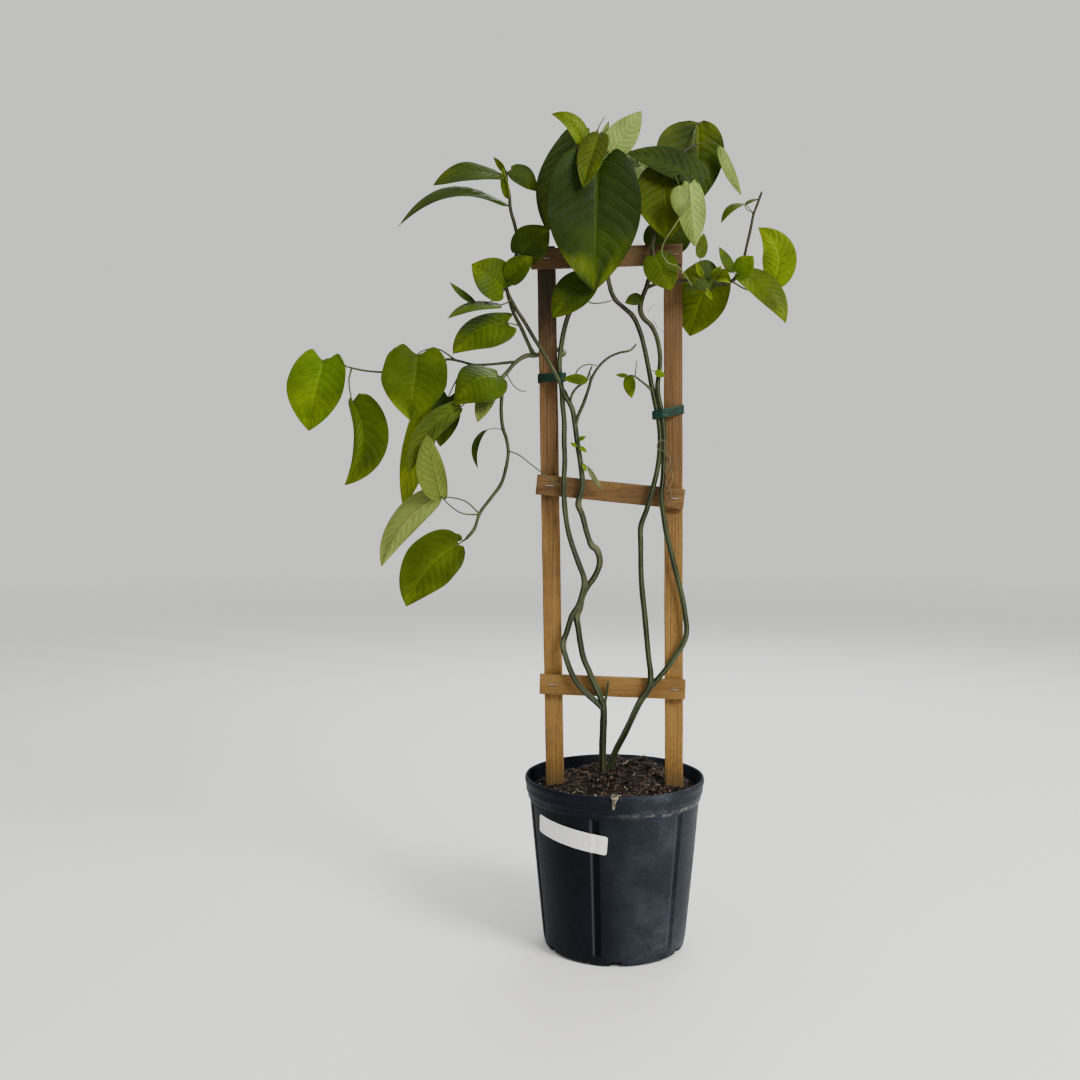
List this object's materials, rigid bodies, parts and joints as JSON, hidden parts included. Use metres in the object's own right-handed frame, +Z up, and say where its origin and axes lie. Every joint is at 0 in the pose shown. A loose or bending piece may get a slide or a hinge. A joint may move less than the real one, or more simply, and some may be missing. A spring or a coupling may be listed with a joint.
{
  "type": "potted giant granadilla",
  "caption": "Climbing vine with winged stems and large heart-shaped leaves, tied to a wooden ladder trellis that stands in a black grooved nursery pot of soil.",
  "frame": {"origin": "centre of the pot's underside, on the ground", "axes": "+Z up along the pot's axis, -Y towards the front of the plant and its label, +X to the viewer's right"},
  "size_m": [0.6252, 0.2403, 1.0469],
  "materials": {
    "pot": "black moulded plastic, satin, dusty",
    "soil": "rough bark and peat mix",
    "trellis_wood": "rough-sawn stained softwood",
    "staple_wire": "dull wire",
    "label": "blank adhesive paper, matt",
    "tie_tape": "green vinyl tape, soft gloss",
    "dry_scrap": "dry leaf scrap, matt",
    "vine_stem": "waxy bloom over green",
    "leaf": "smooth, softly glossy upper side and paler matt underside"
  },
  "bodies": {
    "root": {"pot": "pot", "label": "label", "soil": "soil", "dry_scrap": "dry_scrap", "upright_left": "trellis_wood", "upright_right": "trellis_wood", "crossbar_bottom": "trellis_wood", "crossbar_middle": "trellis_wood", "crossbar_top": "trellis_wood", "staple_bottom_left": "staple_wire", "staple_bottom_right": "staple_wire", "staple_middle_left": "staple_wire", "staple_middle_right": "staple_wire", "staple_top_left": "staple_wire", "staple_top_right": "staple_wire", "tie_left": "tie_tape", "tie_right": "tie_tape", "vine_left": "vine_stem", "vine_right": "vine_stem", "shoot_left_upper": "leaf", "shoot_left_lower": "leaf", "shoot_far_left": "leaf", "crown_left": "leaf", "crown_right": "leaf", "crown_back": "leaf", "shoot_right": "leaf"}
  },
  "joints": []
}
